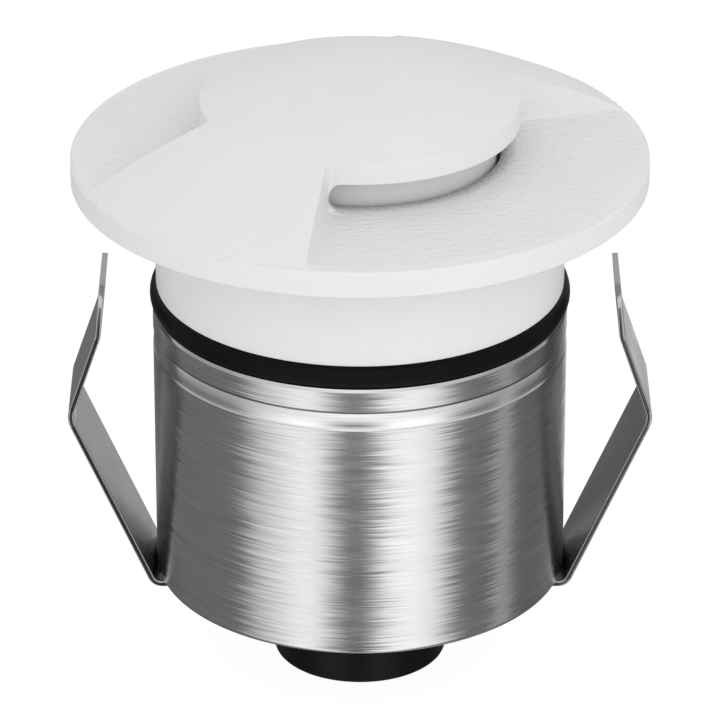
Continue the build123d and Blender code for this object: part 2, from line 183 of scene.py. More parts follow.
PEBBLE_DEPTH = 0.045          # in mm, as all depths of bumps are
WRINKLE_DEPTH = 0.18
FEW_WRINKLES = 0.15           # share of that depth away from the pockets' floors
WRINKLE_FADE = 0.04 * MM, 0.2 * MM           # distances from a pocket's floor over which they fade
RIM_FADE = 23.7 * MM, 24.3 * MM              # and radii over which they fade towards the rim
SILL_SHADE_RADII = 13.5 * MM, 12.1 * MM            # radii between which shade is painted on a sill, darkest inward
SILL_MIDDLE, SILL_HALF = 2.55 * MM, 0.2 * MM                # heights of the sills
SILL_RAG = 0.45 * MM          # how far the painted shade's edge strays
SILL_SHADE = 0.7              # how much darker the painted shade makes a sill
LEAN = 0.05                   # slope of a scratch's side in the brushed steel


def near_pocket_floor(tree, radius, height):
    """1 on the pockets' slanting floors, and less above them and towards the rim."""
    slope = FLOOR_RISE / (RIM_R - HUB_R)
    level = calc(tree, "MULTIPLY_ADD", radius, slope, height)
    above = calc(tree, "SUBTRACT", level, (RIM_Z + slope * RIM_R) * MM)
    inside = remap(tree, radius, 1.0, FEW_WRINKLES, *RIM_FADE)
    return remap(tree, calc(tree, "ABSOLUTE", above), inside, FEW_WRINKLES, *WRINKLE_FADE)


def painted_sill_shade(tree, place, radius, height, speck_mm):
    """1 where shade is painted on the windows' sills, under the hub's lip, with a ragged edge."""
    specks = remap(tree, noise(tree, place, speck_mm), -SILL_RAG, SILL_RAG)
    inward = remap(tree, calc(tree, "ADD", radius, specks), 0.0, 1.0, *SILL_SHADE_RADII)
    return calc(tree, "MULTIPLY", inward, calc(tree, "COMPARE", height, SILL_MIDDLE, SILL_HALF))


def powder_coated_casting(colour, grain_mm):
    """Die-cast aluminium under polyester powder coat: matt and faintly pebbled, because the powder
    melts and levels only in part. It levels least low down in the pockets, where it lies thickest
    and wrinkles like leather. The windows' sills are darkened with painted shade under the hub's
    lip."""
    material, tree, shader = surface("powder_coated_casting", colour, 0.55, IOR=1.5)
    place = object_place(tree)
    _, radius, height = about_axis(tree, place)
    pebbles = noise(tree, place, grain_mm, detail=3.0, roughness=0.6)
    drawn = add(tree, "ShaderNodeMapping", {"Vector": place, "Scale": (0.55, 1.0, 1.0)})
    wrinkles = noise(tree, drawn.outputs["Vector"], 1.1 * grain_mm, roughness=0.6)
    rise = calc(tree, "MULTIPLY", wrinkles, near_pocket_floor(tree, radius, height))
    # painted shade: the windows' sills are darkened where the hub's lip overhangs them
    sill_darkening = painted_sill_shade(tree, place, radius, height, 0.35 * grain_mm)
    cloud = remap(tree, noise(tree, place, 9.0), 0.985, 1.01)
    vary(tree, shader, colour, remap(tree, sill_darkening, cloud, 1 - SILL_SHADE, 0.0, 1.0),
         remap(tree, pebbles, 0.5, 0.62))
    pebbled = bump(tree, shader, pebbles, PEBBLE_DEPTH)
    bump(tree, shader, rise, WRINKLE_DEPTH, pebbled)
    return material


def scratches(tree, across, climb, pitch_mm, length_mm, detail):
    """Noise drawn out round the axis, as the marks of brushing are."""
    flat = vector_calc(tree, "SCALE", across, Scale=1 / (length_mm * MM))
    up = add(tree, "ShaderNodeCombineXYZ",
             {"Z": calc(tree, "MULTIPLY", climb, 1 / (pitch_mm * MM))}).outputs["Vector"]
    made = add(tree, "ShaderNodeTexNoise",
               {"Vector": vector_calc(tree, "ADD", flat, up), "Scale": 1.0, "Detail": detail})
    return made.outputs["Fac"]


def brushed_stainless(colour, pitch_mm):
    """Stainless steel, turned and then brushed round its axis: fine scratches run round it, so
    that what it reflects is drawn out along the axis into upright bands with ragged edges."""
    material, tree, shader = surface("brushed_stainless", colour, 0.25, Metallic=1.0,
                                     Anisotropic=0.7, Anisotropic_Rotation=0.25)
    across, radius, height = about_axis(tree, object_place(tree))
    climb = calc(tree, "ADD", height, radius)    # so that the marks run round flat ends too
    fine = scratches(tree, across, climb, pitch_mm, 6.0, 2.0)
    broad = scratches(tree, across, climb, 5 * pitch_mm, 12.0, 1.0)
    vary(tree, shader, colour, remap(tree, fine, 0.9, 1.08), remap(tree, broad, 0.23, 0.27))
    # each scratch leans the surface a little to one side, round the axis
    normal = add(tree, "ShaderNodeNewGeometry").outputs["Normal"]
    lean = vector_calc(tree, "SCALE", vector_calc(tree, "CROSS_PRODUCT", (0, 0, 1), normal),
                       Scale=remap(tree, fine, -LEAN, LEAN))
    leaning = vector_calc(tree, "NORMALIZE", vector_calc(tree, "ADD", normal, lean))
    tree.links.new(leaning, shader.inputs["Normal"])
    grain = add(tree, "ShaderNodeTangent", direction_type="RADIAL", axis="Z")
    tree.links.new(grain.outputs["Tangent"], shader.inputs["Tangent"])
    return material


def spring_strip_steel(colour):
    """Cold-rolled stainless spring strip: smooth, faintly lined along the strip by the rolls. The
    UV map holds each point's place on the flat strip, in millimetres."""
    material, tree, shader = surface("spring_strip_steel", colour, 0.24, Metallic=1.0)
    flat = add(tree, "ShaderNodeUVMap", uv_map=STRIP_MAP).outputs["UV"]
    along = add(tree, "ShaderNodeMapping", {"Vector": flat, "Scale": (0.1, 6.0, 1.0)})
    rolled = add(tree, "ShaderNodeTexNoise",
                 {"Vector": along.outputs["Vector"], "Scale": 1.0, "Detail": 3.0}).outputs["Fac"]
    cloud = noise(tree, object_place(tree), 3.0)
    vary(tree, shader, colour, remap(tree, rolled, 0.95, 1.04), remap(tree, cloud, 0.2, 0.28))
    bump(tree, shader, rolled, 0.0015)
    return material


def sheared_edge(colour):
    """The strip's edge as the shears leave it: burnished and finely torn. It mirrors what lies in
    front of it more sharply than the rolled face does."""
    material, tree, shader = surface("sheared_edge", colour, 0.16, Metallic=1.0)
    flat = add(tree, "ShaderNodeUVMap", uv_map=STRIP_MAP).outputs["UV"]
    torn = add(tree, "ShaderNodeTexNoise",
               {"Vector": flat, "Scale": 9.0, "Detail": 2.0}).outputs["Fac"]
    vary(tree, shader, colour, remap(tree, torn, 0.93, 1.05))
    bump(tree, shader, torn, 0.001)
    return material


def moulded_rubber(colour):
    """Moulded EPDM rubber: black, with the soft sheen of a satin mould and a trace of dust."""
    material, tree, shader = surface("moulded_rubber", colour, 0.42, IOR=1.5,
                                     Specular_IOR_Level=0.075)
    place = object_place(tree)
    skin = noise(tree, place, 0.25, detail=3.0)
    dust = noise(tree, place, 2.5, detail=3.0)
    vary(tree, shader, colour, remap(tree, dust, 0.8, 1.4), remap(tree, dust, 0.38, 0.46))
    bump(tree, shader, skin, 0.006)
    return material


def moulded_nylon(colour):
    """Injection-moulded nylon: black and smooth, with a faint spark texture left by the mould."""
    material, tree, shader = surface("moulded_nylon", colour, 0.4, IOR=1.53,
                                     Specular_IOR_Level=0.11)
    place = object_place(tree)
    spark = noise(tree, place, 0.18, detail=3.0)
    flow = noise(tree, place, 4.0)
    vary(tree, shader, colour, remap(tree, flow, 0.9, 1.2), remap(tree, spark, 0.36, 0.44))
    bump(tree, shader, spark, 0.005)
    return material


def frosted_polycarbonate(colour):
    """Opal polycarbonate with a matt skin: milky and even, because it scatters light inside."""
    material, tree, shader = surface("frosted_polycarbonate", colour, 0.45, IOR=1.58,
                                     Subsurface_Weight=0.5, Subsurface_Scale=1.2 * MM,
                                     Subsurface_Radius=(1, 1, 1))
    place = object_place(tree)
    frost = noise(tree, place, 0.12, detail=3.0)
    milk = noise(tree, place, 5.0)
    vary(tree, shader, colour, remap(tree, milk, 0.97, 1.03))
    bump(tree, shader, frost, 0.004)
    return material


def plain_moulding(name, colour, roughness, **sockets):
    """A small inner piece: its colour, broken up slightly, with a skin at a real scale."""
    material, tree, shader = surface(name, colour, roughness, **sockets)
    place = object_place(tree)
    grain = noise(tree, place, 0.3, detail=3.0)
    patch = noise(tree, place, 3.6)
    vary(tree, shader, colour, remap(tree, patch, 0.94, 1.06),
         remap(tree, grain, roughness - 0.05, roughness + 0.05))
    bump(tree, shader, grain, 0.004)
    return material


def turned_metal(name, colour, roughness, pitch_mm=0.12):
    """Metal turned on a lathe: fine rings round the axis of the light."""
    material, tree, shader = surface(name, colour, roughness, Metallic=1.0)
    _, radius, height = about_axis(tree, object_place(tree))
    where = add(tree, "ShaderNodeCombineXYZ", {"Z": calc(tree, "ADD", height, radius)})
    rings = noise(tree, where.outputs["Vector"], pitch_mm)
    vary(tree, shader, colour, remap(tree, rings, 0.88, 1.08))
    bump(tree, shader, rings, 0.004)
    return material


# ---- shapes ----

SEGMENTS = 256                # round a turned piece
BY_AREA, BY_AREA_AND_CORNER = 100, 50        # how face sizes weigh in smooth shading


def rounded(corners, steps=5):
    """Round an outline's corners. Each corner is (radius, height, rounding) in mm, and a rounding
    of 0 keeps it sharp. Returns (radius, height) points."""
    points = []
    for i, (r, z, rounding) in enumerate(corners):
        here = Vector((r, z))
        back = Vector(corners[i - 1][:2]) - here
        ahead = Vector(corners[(i + 1) % len(corners)][:2]) - here
        if rounding == 0:
            points.append((r, z))
            continue
        back, ahead = back.normalized(), ahead.normalized()
        half = back.angle(ahead) / 2
        middle = here + (back + ahead).normalized() * rounding / sin(half)
        first = here + back * rounding / tan(half) - middle
        last = here + ahead * rounding / tan(half) - middle
        sweep = first.angle_signed(last)
        for k in range(steps + 1):
            spoke = first.copy()
            spoke.rotate(Matrix.Rotation(-sweep * k / steps, 2))
            points.append(tuple(middle + spoke))
    return points


def turn_outline(bm, outline, segments=SEGMENTS):
    """Turn a closed outline of (radius, height) points, in mm, round Z into faces of a bmesh."""
    rings = []
    for r, z in outline:
        rings.append([bm.verts.new(turned_point(r, 2 * pi * k / segments, z))
                      for k in range(segments)])
    for low, high in zip(rings, rings[1:] + rings[:1]):
        join(bm, low, high)


def turned_point(r, angle, z):
    return r * cos(angle) * MM, r * sin(angle) * MM, z * MM


def join(bm, low, high):
    """Join two closed rows of the same number of points by faces, and return the faces."""
    following = [*low[1:], low[0]], [*high[1:], high[0]]
    return [bm.faces.new(corners) for corners in zip(low, following[0], following[1], high)]


def turned(name, outline, segments=SEGMENTS):
    """Turn a closed outline of (radius, height) points, in mm, round Z into a mesh object."""
    bm = bmesh.new()
    turn_outline(bm, outline, segments)
    return keep_flat(closed_object(bm, name), BY_AREA)


def closed_object(bm, name):
    """Make a bmesh into a smooth-shaded object, with its faces turned outward."""
    mesh = bpy.data.meshes.new(name)
    bmesh.ops.recalc_face_normals(bm, faces=bm.faces)
    bm.to_mesh(mesh)
    bm.free()
    mesh.shade_smooth()
    made = bpy.data.objects.new(name, mesh)
    bpy.context.scene.collection.objects.link(made)
    return made


def keep_flat(made, weight):
    """Keep the broad faces of a smooth-shaded object flat."""
    weighted = made.modifiers.new("flat faces", "WEIGHTED_NORMAL")
    weighted.weight = weight
    weighted.keep_sharp = True
    return made


def dress(made, *materials):
    """Give an object its materials. Faces keep the numbers of their material slots."""
    slots = made.data.materials
    while len(slots) < len(materials):
        slots.append(None)
    for k, material in enumerate(materials):
        slots[k] = material
    return made


def stand_for(made, body, slot, *nodes):
    """Let a new piece ride on a body in place of CAD nodes."""
    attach(made, body)
    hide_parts(*nodes)
    return made


def dress_nodes(material, *names):
    for name in names:
        dress(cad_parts[name], material)


def heights(node):
    """Lowest and highest point of a CAD node, in mm."""
    low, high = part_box(node)
    return low.z / MM, high.z / MM


def reach(node):
    """Outer radius of a round CAD node, in mm."""
    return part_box(node)[1].y / MM


# ---- housing ----

HOUSING_BORE_R = 15.95
HOUSING_INNER_R = 15.2
HOUSING_LEDGE_Z = -20.0
HOUSING_FLOOR = 2.0
STEM_HOLE_R = 4.1
TOP_EASE = 0.11               # the top edge's slant: this far in, over EASE_HEIGHT
EASE_HEIGHT = 0.28
GROOVE_FROM_TOP = 2.07        # from the housing's top to the groove's upper edge
GROOVE_WIDTH = 1.83
GROOVE_CUT = 0.42             # depth of the narrow cut along the upper edge
GROOVE_CUT_WIDTH = 0.26
GROOVE_STEP = 0.14            # how deep the groove's slanting floor starts below that cut
GROOVE_END = 0.03             # and how deep it ends
GROOVE_BAND_TOP = 0.53        # the band below the slanting floor, from the groove's foot
GROOVE_BAND_FOOT = 0.09
GROOVE_BAND_TOP_DEPTH = 0.131
GROOVE_BAND_DEPTH = 0.1
GROOVE_BAND_LIP = 0.03        # height of the ledge between the slanting floor and the band


def housing_outline():
    """The cup's outline, from the hole in its floor round the outside and back down the bore. The
    groove's floor slants in and up to a narrow cut, and a sunk band with a slanted foot lies below
    it."""
    low, high = heights("housing")
    radius = reach("housing")
    edge = high - GROOVE_FROM_TOP
    foot = edge - GROOVE_WIDTH
    return rounded([
        (STEM_HOLE_R, low, 0.15),
        (radius, low, 0.5),
        (radius, foot, 0.02),
        (radius - GROOVE_BAND_DEPTH, foot + GROOVE_BAND_FOOT, 0.02),
        (radius - GROOVE_BAND_TOP_DEPTH, foot + GROOVE_BAND_TOP, 0.02),
        (radius - GROOVE_END, foot + GROOVE_BAND_TOP + GROOVE_BAND_LIP, 0.015),
        (radius - GROOVE_STEP, edge - GROOVE_CUT_WIDTH, 0.015),
        (radius - GROOVE_CUT, edge - 0.9 * GROOVE_CUT_WIDTH, 0.01),
        (radius - GROOVE_CUT, edge - 0.1 * GROOVE_CUT_WIDTH, 0.01),
        (radius, edge, 0.02),
        (radius, high - EASE_HEIGHT, 0.1),
        (radius - TOP_EASE, high, 0.05),
        (HOUSING_BORE_R, high, 0.12),
        (HOUSING_BORE_R, HOUSING_LEDGE_Z, 0),
        (HOUSING_INNER_R, HOUSING_LEDGE_Z, 0.1),
        (HOUSING_INNER_R, low + HOUSING_FLOOR, 0.3),
        (STEM_HOLE_R, low + HOUSING_FLOOR, 0.15),
    ])


def steel_cup():
    """The housing, with the groove's faces in a second material, because a brush passes over them.
    Its narrow cut stays in the first one."""
    cup = turned("steel_cup", housing_outline())
    edge = heights("housing")[1] - GROOVE_FROM_TOP
    radius = reach("housing")
    for face in cup.data.polygons:
        r, z = face.center.xy.length / MM, face.center.z / MM
        if radius - 1.5 * GROOVE_STEP < r < radius and edge - GROOVE_WIDTH < z < edge:
            face.material_index = 1
    return cup


# ---- seal and gland ----

SEAL_SECTION_R = 1.3
CAP_BORE_R = 5.35
CAP_COUNTERBORE_R = 6.35
CAP_COUNTERBORE = 1.5
CAP_LIP_R = 2.8
CAP_LIP = 0.9
CAP_MOUTH_R = 3.3
CAP_SEAT = 2.55               # from the cap's bottom up to the face that presses the sleeve
CABLE_R = 2.5
SLEEVE_SEGMENTS = 96
SLEEVE_RIBS = 4
SLEEVE_RIB = 0.3


def seal_outline(steps=10):
    """A round section squeezed flat above and below."""
    low, high = heights("cover_seal")
    middle_r = reach("cover_seal") - SEAL_SECTION_R
    half = (high - low) / 2
    lift = sqrt(SEAL_SECTION_R ** 2 - half ** 2)
    limit = atan2(half, lift)
    arc = [-limit + 2 * limit * k / steps for k in range(steps + 1)]
    outer = [(middle_r + SEAL_SECTION_R * cos(a), low + half + SEAL_SECTION_R * sin(a))
             for a in arc]
    inner = [(2 * middle_r - r, z) for r, z in reversed(outer)]
    return outer + inner


def cap_outline():
    """The gland's cap: a smooth round skirt with a mouth for the cable."""
    low, high = heights("gland_cap")
    seat = low + CAP_SEAT
    return rounded([
        (CAP_COUNTERBORE_R, high, 0.1),
        (CAP_COUNTERBORE_R, high - CAP_COUNTERBORE, 0),
        (CAP_BORE_R, high - CAP_COUNTERBORE, 0.1),
        (CAP_BORE_R, seat, 0),
        (CAP_LIP_R, seat, 0.1),
        (CAP_LIP_R, seat - CAP_LIP, 0.25),
        (CAP_MOUTH_R, low, 0.2),
        (reach("gland_cap"), low, 0.45),
        (reach("gland_cap"), high, 0.15),
    ])


def sleeve_outline():
    """The sleeve, with soft ribs inside that grip the cable."""
    low, high = heights("gland_sleeve")
    outer = reach("gland_sleeve")
    step = (high - low) / (2 * SLEEVE_RIBS)
    ribs = [(CABLE_R + (SLEEVE_RIB if k % 2 else 0), low + k * step, 0.12)
            for k in range(1, 2 * SLEEVE_RIBS)]
    return rounded([(CABLE_R, low, 0.1), *ribs, (CABLE_R, high, 0.1), (outer, high, 0.2),
                    (outer, low, 0.2)])


# ---- spring strap ----

STRIP_MAP = "flat_strip"
STRIP = 0.5
STRIP_WIDTH = 9.2
STRIP_EDGE_ROUND = 0.1
EDGE_STEPS = 4
BEND_STEPS = 14
TIP_STEPS = 8
STRIP_FROM = 6.0              # distance from the axis, under the gland's cap, where an arm begins
STRIP_LEVEL = -37.75          # its middle line, under the housing
# corners of the middle line, (x, z) in mm, with the radius of each bend
STRIP_BENDS = (((18.25, STRIP_LEVEL), 1.0), ((25.45, -21.37), 2.3), ((22.77, -13.47), 2.5))
STRIP_TIP = (22.36, -9.04)
TIP_ROUND = 1.6
STRAP_RING_R = 7.2


def strip_stations():
    """Points along the bent strip's middle line: (length from its start, x, z, slope). Each bend
    is divided into short steps, and the rounded tip into its own."""
    stations = []
    run = 0.0
    here = Vector((STRIP_FROM, STRIP_LEVEL))
    corners = [Vector(corner) for corner, _ in STRIP_BENDS] + [Vector(STRIP_TIP)]
    for k, (corner, radius) in enumerate(STRIP_BENDS):
        corner = Vector(corner)
        into, out = (corner - here).normalized(), (corners[k + 1] - corner).normalized()
        turn = atan2(into.x * out.y - into.y * out.x, into.dot(out))
        setback = radius * tan(abs(turn) / 2)
        slope = atan2(into.y, into.x)
        start = corner - into * setback
        if not stations:
            stations.append((run, *here, slope))
        run += (start - here).length
        side = 1 if turn > 0 else -1
        centre = start + side * radius * Vector((-into.y, into.x))
        for n in range(BEND_STEPS + 1):
            angle = slope + turn * n / BEND_STEPS
            spot = centre - side * radius * Vector((-sin(angle), cos(angle)))
            stations.append((run + abs(turn) * radius * n / BEND_STEPS, *spot, angle))
        run += abs(turn) * radius
        here = corner + out * setback
    slope = atan2(out.y, out.x)
    length = (Vector(STRIP_TIP) - here).length
    for n in range(TIP_STEPS + 1):
        back = TIP_ROUND * (1 - sin(pi / 2 * n / TIP_STEPS))
        spot = Vector(STRIP_TIP) - out * back
        stations.append((run + length - back, *spot, slope))
    return stations


def strip_half_width(run, end):
    """Half the strip's width, which narrows over the rounded corners of its tip."""
    past = max(0.0, run - (end - TIP_ROUND))
    return STRIP_WIDTH / 2 - TIP_ROUND + sqrt(max(0.0, TIP_ROUND ** 2 - past ** 2))


def strip_section():
    """The strip's rounded section: for each point, its side, how far in it lies from the strip's
    width there, and its place through the thickness."""
    quarter = [pi / 2 * k / EDGE_STEPS for k in range(EDGE_STEPS + 1)]
    edge = STRIP_EDGE_ROUND
    loop = []
    for y_side, t_side in ((1, 1), (-1, 1), (-1, -1), (1, -1)):
        turns = quarter if y_side * t_side > 0 else quarter[::-1]
        loop += [(y_side, edge * (cos(a) - 1), t_side * (STRIP / 2 + edge * (sin(a) - 1)))
                 for a in turns]
    return loop


def spring_arm(name, side):
    """One arm, with its edges in a second material. Its UV map is its place on the flat strip."""
    stations = strip_stations()
    end = stations[-1][0]
    loop = strip_section()
    bm = bmesh.new()
    uv = bm.loops.layers.uv.new(STRIP_MAP)
    places = {}
    sections = []
    for run, x, z, slope in stations:
        half = strip_half_width(run, end)
        section = []
        for y_side, inset, t in loop:
            y = y_side * (half + inset)
            spot = (side * (x - t * sin(slope)) * MM, y * MM, (z + t * cos(slope)) * MM)
            vert = bm.verts.new(spot)
            places[vert] = (run, y)
            section.append(vert)
        sections.append(section)
    for low, high in zip(sections, sections[1:]):
        for face, here, following in zip(join(bm, low, high), loop, [*loop[1:], loop[0]]):
            face.material_index = int(here[0] == following[0])
    for section in (sections[0][::-1], sections[-1]):
        bm.faces.new(section).material_index = 1
    for face in bm.faces:
        for corner in face.loops:
            corner[uv].uv = places[corner.vert]
    return keep_flat(closed_object(bm, name), BY_AREA)


# ---- cover ----

THREAD_PITCH = 1.5
THREAD_R = 15.9
THREAD_DEPTH = 0.45
THREAD_TOP = -12.3
THREAD_BOTTOM = -17.6
THREAD_MOUTH = 0.62           # half the groove's width, THREAD_OUTSIDE beyond the spigot
THREAD_OUTSIDE = 0.3
THREAD_STEPS = 96             # in a turn, over a quarter of which the groove runs out

# the pockets and the dome over them, in mm
POCKET_TOWARDS = 320.25
POCKET_HALF_SPAN = 60.65
WALL_DRAFT = 2.0
CORNER_ROUND = 0.6
HUB_R = 13.8
HUB_Z = 7.2
RIM_R = 24.7
RIM_OUTER_R = 25.0
NECK_R = 17.8
NECK_BOTTOM = -9.83
RIM_Z = 2.3
DOME_BULGE = 0.3
FLOOR_RISE = 0.25
EASED_EDGE = 0.16             # round on the pockets' top edges and on the neck's lower edge
EASED_SHARE = 0.4             # of a pocket wall's height, where that is less
FLANGE_EASED_EDGE = 0.12
RIM_END = 24.62               # where the round on a pocket's edge runs out
OVERCUT = 0.35                # how far a cutter reaches outside the casting
FLANK_STEPS, CORNER_STEPS, HUB_STEPS = 14, 8, 24            # along a pocket's edge
EASE_STEPS = 4                # across its round
RING_STEPS = 5
RING_SLANT = radians(15)
MERGE, MERGE_CUT = 2e-6, 3e-6                # metres within which points are merged
SMOOTH_BELOW = radians(42)    # edges that turn less than this are shaded smooth


def dome(r):
    """Height of the dome's flank at a radius, and its slope as an outward normal (radial, up)."""
    hub, rim = Vector((HUB_R, HUB_Z)), Vector((RIM_R, RIM_Z))
    chord = rim - hub
    big = (chord.length ** 2 / 4 + DOME_BULGE ** 2) / (2 * DOME_BULGE)
    up = Vector((-chord.y, chord.x)).normalized()
    centre = (hub + rim) / 2 + up * (DOME_BULGE - big)
    z = centre.y + sqrt(big ** 2 - (r - centre.x) ** 2)
    return z, (Vector((r, z)) - centre).normalized()


def pocket_edge():
    """The top edge of a pocket that opens along +X, from rim to rim: for each station its plan
    position and the way out of the wall there."""
    draft = tan(radians(WALL_DRAFT))
    along = Vector((cos(radians(POCKET_HALF_SPAN)), sin(radians(POCKET_HALF_SPAN))))
    outward = Vector((-along.y, along.x))
    corner = CORNER_ROUND - HUB_Z * draft
    centre = along * sqrt((HUB_R + CORNER_ROUND) ** 2 - corner ** 2) - outward * corner
    stations = []
    near = centre.dot(along)
    for k in range(FLANK_STEPS + 1):
        r = RIM_END + (near - RIM_END) * k / FLANK_STEPS
        lean = dome(r)[0] * draft
        stations.append((along * sqrt(r * r - lean * lean) + outward * lean, -outward))
    for k in range(1, CORNER_STEPS + 1):
        way = outward.copy()
        way.rotate(Matrix.Rotation(-outward.angle_signed(-centre) * k / CORNER_STEPS, 2))
        stations.append((centre + way * CORNER_ROUND, -way))
    start = stations[-1][0]
    turn = atan2(start.y, start.x)
    for k in range(1, HUB_STEPS + 1):
        angle = turn * (1 - k / HUB_STEPS)
        way = Vector((cos(angle), sin(angle)))
        stations.append((way * HUB_R, way))
    flip = [(Vector((p.x, -p.y)), Vector((n.x, -n.y))) for p, n in stations[-2::-1]]
    return stations + flip


def eased_edge_cutter(bm, heading):
    """What rounding a pocket's top edge takes away, as a closed strip added to a bmesh."""
    turn = Matrix.Rotation(radians(heading), 3, "Z")
    sections = []
    for plan, out in pocket_edge():
        r = max(plan.length, HUB_R)
        z, slope = dome(r)
        radial = plan.normalized()
        top = Vector((*(radial * slope.x), slope.y))
        wall = Vector((*out, 0))
        point = Vector((*plan, z))
        back = (top * top.dot(wall) - wall).normalized()
        down = (wall * wall.dot(top) - top).normalized()
        half = back.angle(down) / 2
        depth = z - RIM_Z - FLOOR_RISE * (RIM_R - r) / (RIM_R - HUB_R)
        rounding = min(EASED_EDGE, EASED_SHARE * depth)
        middle = point + (back + down).normalized() * rounding / sin(half)
        first = point + back * rounding / tan(half) - middle
        last = point + down * rounding / tan(half) - middle
        arc = [middle + first.slerp(last, k / EASE_STEPS) for k in range(EASE_STEPS + 1)]
        section = [point + OVERCUT * (top + wall), *arc]
        sections.append([bm.verts.new(turn @ spot * MM) for spot in section])
    strip(bm, sections)


def strip(bm, sections):
    """Join sections with the same number of points into a closed strip."""
    for low, high in zip(sections, sections[1:]):
        join(bm, low, high)
    bm.faces.new(sections[0])
    bm.faces.new(sections[-1][::-1])


def thread_groove(bm):
    """The helical space between the ridges of the screw thread, to be cut out of the spigot."""
    count = int(THREAD_STEPS * (THREAD_TOP - THREAD_BOTTOM) / THREAD_PITCH)
    outside = THREAD_R + THREAD_OUTSIDE
    sections = []
    for k in range(count + 1):
        angle = 2 * pi * k / THREAD_STEPS
        z = THREAD_BOTTOM + THREAD_PITCH * k / THREAD_STEPS
        deep = THREAD_DEPTH * min(1.0, (count - k) / (THREAD_STEPS / 4))
        section = ((THREAD_R - deep, z), (outside, z + THREAD_MOUTH), (outside, z - THREAD_MOUTH))
        sections.append([bm.verts.new(turned_point(r, angle, h)) for r, h in section])
    strip(bm, sections)


def eased_ring_cutter(bm, r, z, rounding):
    """What rounding a round lower edge takes away: a ring, added to a bmesh. Its arc starts and
    ends at a slight slant to the faces that it cuts, because a tangent cut leaves slivers."""
    sine, cosine = sin(RING_SLANT), cos(RING_SLANT)
    middle_r, middle_z = r - rounding * cosine, z + rounding * cosine
    angles = [RING_SLANT + (pi / 2 - 2 * RING_SLANT) * k / RING_STEPS
              for k in range(RING_STEPS + 1)]
    arc = [(middle_r + rounding * cos(a), middle_z - rounding * sin(a)) for a in angles]
    away = 2 * rounding
    first = (arc[0][0] + away * sine, arc[0][1] + away * cosine)
    last = (arc[-1][0] - away * cosine, arc[-1][1] - away * sine)
    turn_outline(bm, [first, *arc, last, (first[0] + away, last[1])])


def cover_cutter():
    """All that is cut from the cover's CAD shape: rounds on its edges, and the thread's groove."""
    bm = bmesh.new()
    for heading in (POCKET_TOWARDS, POCKET_TOWARDS + 180):
        eased_edge_cutter(bm, heading)
    thread_groove(bm)
    eased_ring_cutter(bm, NECK_R, NECK_BOTTOM, EASED_EDGE)
    eased_ring_cutter(bm, RIM_OUTER_R, 0, FLANGE_EASED_EDGE)
    return closed_object(bm, "cut_away")


def cover_casting():
    """The cover's CAD shape, with its pockets' top edges eased as a casting's are under paint, and
    with the ridges of its screw thread."""
    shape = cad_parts["cover"].data
    bm = bmesh.new()
    verts = [bm.verts.new(vert.co) for vert in shape.vertices]
    for polygon in shape.polygons:
        bm.faces.new([verts[k] for k in polygon.vertices])
    bmesh.ops.remove_doubles(bm, verts=bm.verts, dist=MERGE)
    made = closed_object(bm, "cover_casting")
    away = cover_cutter()
    cut = made.modifiers.new("eased edges and thread", "BOOLEAN")
    cut.operation = "DIFFERENCE"
    cut.object = away
    cut.solver = "EXACT"
    seen = made.evaluated_get(bpy.context.evaluated_depsgraph_get())
    mesh = bpy.data.meshes.new_from_object(seen)
    bm = bmesh.new()
    bm.from_mesh(mesh)
    bmesh.ops.remove_doubles(bm, verts=bm.verts, dist=MERGE_CUT)
    for edge in bm.edges:
        edge.smooth = len(edge.link_faces) != 2 or edge.calc_face_angle() < SMOOTH_BELOW
    bm.to_mesh(mesh)
    bm.free()
    made.modifiers.clear()
    made.data = mesh
    bpy.data.objects.remove(away)
    return keep_flat(made, BY_AREA_AND_CORNER)


# ---- settings ----

def colour_property(name, what, default):
    return bpy.props.StringProperty(
        name=name, description=f"Colour of {what}, as sRGB hex", default=default)


class WellLightColours(bpy.types.PropertyGroup):
    coat: colour_property("Powder coat", "the cover", "#EAEBEB")
    steel: colour_property("Housing steel", "the brushed steel", "#C5C5C6")
    groove: colour_property("Groove", "the housing's turned groove", "#DCDDDE")
    strip: colour_property("Spring strip", "the spring strap", "#B2B1AF")
    strip_edge: colour_property("Strip's edge", "the strap's sheared edges", "#A9A7A4")
    rubber: colour_property("Rubber", "the O-ring and the gland's sleeve", "#0B0B0B")
    nylon: colour_property("Nylon", "the cable gland", "#0B0B0C")
    lens: colour_property("Diffuser", "the frosted diffuser", "#DDDDDD")


class WellLightSizes(bpy.types.PropertyGroup):
    coat_grain: bpy.props.FloatProperty(
        name="Coat grain (mm)", description="Size of the powder coat's pebbles", default=0.4)
    brush_pitch: bpy.props.FloatProperty(
        name="Brush pitch (mm)", description="Distance between scratches on the housing, drawn "
        "coarser than real brushing so that it shows", default=0.13)


class WellLightStage(bpy.types.PropertyGroup):
    distance: bpy.props.FloatProperty(
        name="Camera distance", description="From the camera to the point that it looks at",
        default=0.476, unit="LENGTH")
    elevation: bpy.props.FloatProperty(
        name="Camera elevation", description="Height of the camera above the horizon",
        default=radians(26.08), subtype="ANGLE")
    aim_height: bpy.props.FloatProperty(
        name="Aim height", description="Height of the point on the axis that the camera looks at",
        default=-0.01787, unit="LENGTH")
    lens: bpy.props.FloatProperty(
        name="Lens (mm)", description="Focal length on a sensor 36 mm wide", default=270.76)
    sky: bpy.props.FloatProperty(
        name="Soft light", description="Strength of the even light from all round", default=1.0)
    key: bpy.props.FloatProperty(
        name="Key light", description="Power of the soft box near the camera", default=0.67,
        unit="POWER")


def settings():
    scene = bpy.context.scene
    return scene.well_light_colours, scene.well_light_sizes, scene.well_light_stage


# ---- stage ----

